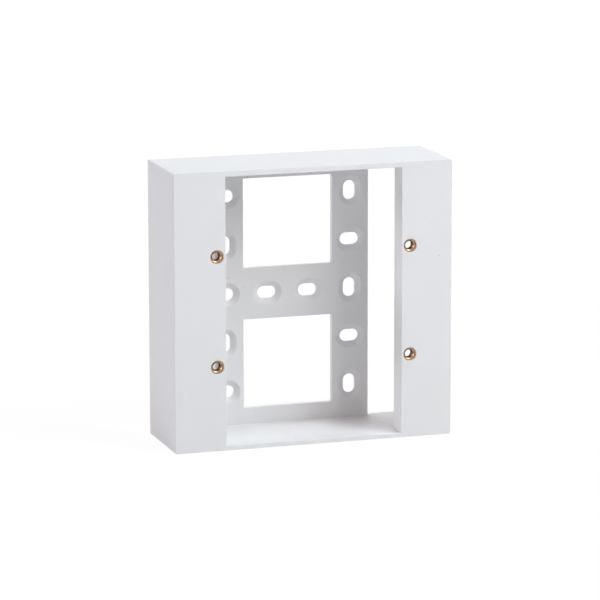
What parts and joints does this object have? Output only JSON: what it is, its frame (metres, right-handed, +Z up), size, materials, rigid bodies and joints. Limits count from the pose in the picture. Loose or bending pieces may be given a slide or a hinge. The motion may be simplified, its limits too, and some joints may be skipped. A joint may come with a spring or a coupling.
{
  "type": "surface mount box",
  "caption": "Open rectangular surface mount back box for a double wall plate, with a slotted back plate, cable windows and brass screw inserts.",
  "frame": {"origin": "middle of the wall face, the plane of the open back and of the back plate's rear side", "axes": "+Y into the wall, so the box opens towards -Y; +X along the long screw spacing; +Z up as the box stands on its side"},
  "size_m": [0.12, 0.0387, 0.1164],
  "materials": {
    "white_plastic": "white moulded plastic, smooth and semi-gloss",
    "brass": "turned brass, dull and a little tarnished"
  },
  "bodies": {
    "root": {"box_body": "white_plastic", "insert_lower_left": "brass", "insert_lower_right": "brass", "insert_upper_left": "brass", "insert_upper_right": "brass"}
  },
  "joints": []
}
